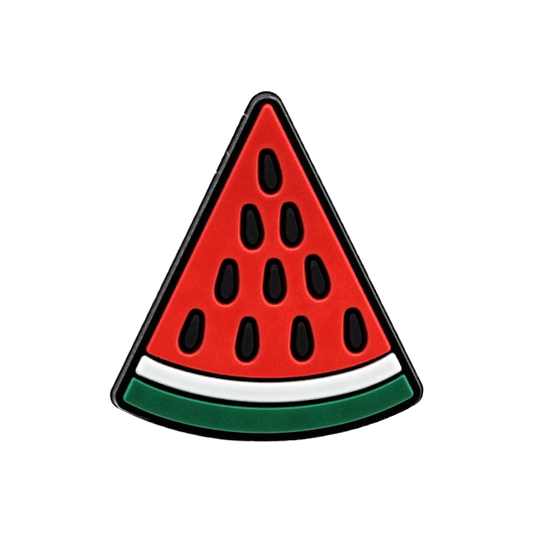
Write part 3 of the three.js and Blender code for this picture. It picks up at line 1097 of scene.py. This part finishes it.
def pvc(name):
    """Soft PVC: mottled colour, painted highlights and shade at its edges, uneven gloss, fine moulded
    grain.
    """
    look = LOOKS[name]
    material = bpy.data.materials.new(name)
    material.use_nodes = True
    tree = material.node_tree
    tree.nodes.clear()
    metres = add(tree, "TexCoord").outputs["Object"]
    place = scaled(tree, metres, (1 / MM,) * 3)
    lumps = bumped(tree, noise_of(tree, place, *LUMP_NOISE), look["lumps"] * MM)
    fine = noise_of(tree, place, *GRAIN_NOISE)
    rough = spread(tree, fine, *GLOSS_STRETCH, *look["gloss"])
    grain = look["grain"] * MM
    if "wall_gloss" in look:
        rough, grain = wall_finish(tree, place, look, rough)
    inputs = {
        "Base Color": pvc_colour(tree, place, look),
        "Roughness": rough,
        "Normal": bumped(tree, fine, grain, lumps),
        "IOR": REFRACTION,
        "Specular IOR Level": look.get("specular", SPECULAR),
        "Subsurface Weight": look.get("soft", 0),
        "Subsurface Radius": look.get("soft_colour", (1, 1, 1)),
        "Subsurface Scale": SOFT_REACH * MM,
    }
    shader = add(tree, "BsdfPrincipled", inputs)
    add(tree, "OutputMaterial", {"Surface": shader.outputs["BSDF"]})
    return material


# ---- Studio ----------------------------------------------------------------------------------

# The camera stands over the face, leant to the left and to the tip by these degrees.
VIEW_LEFT = 2.55
VIEW_TIP = 3.83
VIEW_ROLL = -0.34
VIEW_DISTANCE = 400
AIM = Vector((-0.12, 3.8, LAND_Z))
LENS = 337.9
SENSOR = 36
CLIP_START = 10


def set_camera():
    """The camera, looking down on the face."""
    lean = Vector((-math.tan(math.radians(VIEW_LEFT)), math.tan(math.radians(VIEW_TIP)), 1))
    back = lean.normalized()
    up = Vector((0, 1, 0))
    up = (up - back * up.dot(back)).normalized()
    right = up.cross(back)
    roll = Matrix.Rotation(math.radians(VIEW_ROLL), 3, "Z")
    facing = Matrix((right, up, back)).transposed() @ roll
    data = bpy.data.cameras.new("camera")
    data.lens = LENS
    data.sensor_width = SENSOR
    data.clip_start = CLIP_START * MM
    camera = bpy.data.objects.new("camera", data)
    camera.matrix_world = Matrix.Translation((AIM + back * VIEW_DISTANCE) * MM) @ facing.to_4x4()
    bpy.context.scene.collection.objects.link(camera)
    bpy.context.scene.camera = camera


# Softboxes: azimuth in degrees, 0 to the right and 90 towards the tip, and power in watts
SOFTBOXES = {
    "softbox_right": (10, 0.45),
    "softbox_left": (180, 0.1),
    "softbox_tip": (90, 0.68),
    "softbox_rind": (270, 0.16),
}
SOFTBOX_RISE = math.radians(27)
SOFTBOX_WIDTH = 420
SOFTBOX_HEIGHT = 110
SOFTBOX_DISTANCE = 300
SOFTBOX_TARGET = Vector((0, 2, LAND_Z))


def softbox(name, azimuth, power):
    """A rectangular area light, facing the charm."""
    turn = math.radians(azimuth)
    level = math.cos(SOFTBOX_RISE)
    direction = Vector((math.cos(turn) * level, math.sin(turn) * level, math.sin(SOFTBOX_RISE)))
    data = bpy.data.lights.new(name, "AREA")
    data.shape = "RECTANGLE"
    data.size = SOFTBOX_WIDTH * MM
    data.size_y = SOFTBOX_HEIGHT * MM
    data.energy = power
    light = bpy.data.objects.new(name, data)
    light.location = (SOFTBOX_TARGET + direction * SOFTBOX_DISTANCE) * MM
    light.rotation_euler = direction.to_track_quat("Z", "Y").to_euler()
    bpy.context.scene.collection.objects.link(light)


# The tent round the charm is lit to this strength at the sides, and straight above it is dark. It
# changes over a stretch of the direction's height.
TENT_SIDES = 0.7
TENT_TOP = 0.0
TENT_EDGE = (0.7, 0.93)


def surround():
    """A pale tent that goes dark straight above, so that flat gloss stays deep."""
    world = bpy.data.worlds.new("tent")
    world.use_nodes = True
    tree = world.node_tree
    tree.nodes.clear()
    direction = add(tree, "TexCoord").outputs["Generated"]
    height = add(tree, "SeparateXYZ", {"Vector": direction}).outputs["Z"]
    strength = spread(tree, height, *TENT_EDGE, TENT_SIDES, TENT_TOP)
    tent = add(tree, "Background", {"Color": (1, 1, 1, 1), "Strength": strength})
    add(tree, "OutputWorld", {"Surface": tent.outputs["Background"]})
    bpy.context.scene.world = world


FLOOR_RADIUS = 1500
FLOOR_GAP = 0.01  # between the button's foot and the floor, so that the two don't flicker
PAPER = {
    "Base Color": (0.9, 0.9, 0.9, 1),
    "Roughness": 0.9,
    "Emission Color": (1, 1, 1, 1),
    "Emission Strength": 0.5,
}


def floor():
    """A wide sheet of white paper, which glows a little so that it shows plain white."""
    bm = bmesh.new()
    bm.faces.new(add_loop(bm, circle(FLOOR_RADIUS), FOOT_Z - FLOOR_GAP))
    mesh = bpy.data.meshes.new("studio_floor")
    bm.to_mesh(mesh)
    bm.free()
    material = bpy.data.materials.new("white_paper")
    material.use_nodes = True
    shader = material.node_tree.nodes["Principled BSDF"]
    for key, value in PAPER.items():
        shader.inputs[key].default_value = value
    mesh.materials.append(material)
    sheet = bpy.data.objects.new("studio_floor", mesh)
    bpy.context.scene.collection.objects.link(sheet)


def studio():
    """The tent, the floor, the lights and the camera."""
    bpy.context.scene.view_settings.view_transform = "Standard"
    surround()
    floor()
    for name, (azimuth, power) in SOFTBOXES.items():
        softbox(name, azimuth, power)
    set_camera()


# ---- Assembly --------------------------------------------------------------------------------

black = pvc("black_pvc")
charcoal = pvc("charcoal_pvc")
dress(base(), "base_moulding", black, "base")
flesh = pad(FLESH, FLESH_EDGE, shifted_places(HOLE_SHIFT))
dress(flesh, "flesh_moulding", pvc("red_pvc"), "flesh_pad")
dress(pad(PITH, PITH_EDGE), "pith_moulding", pvc("white_pvc"), "pith_band")
dress(pad(RIND, RIND_EDGE), "rind_moulding", pvc("green_pvc"), "rind_band")
for number, place in enumerate(shifted_places(SEED_SHIFT), 1):
    name = f"seed_{number:02d}"
    dress(seed(place), f"{name}_moulding", charcoal, name)
dress(button(), "button_moulding", black, "button")
studio()
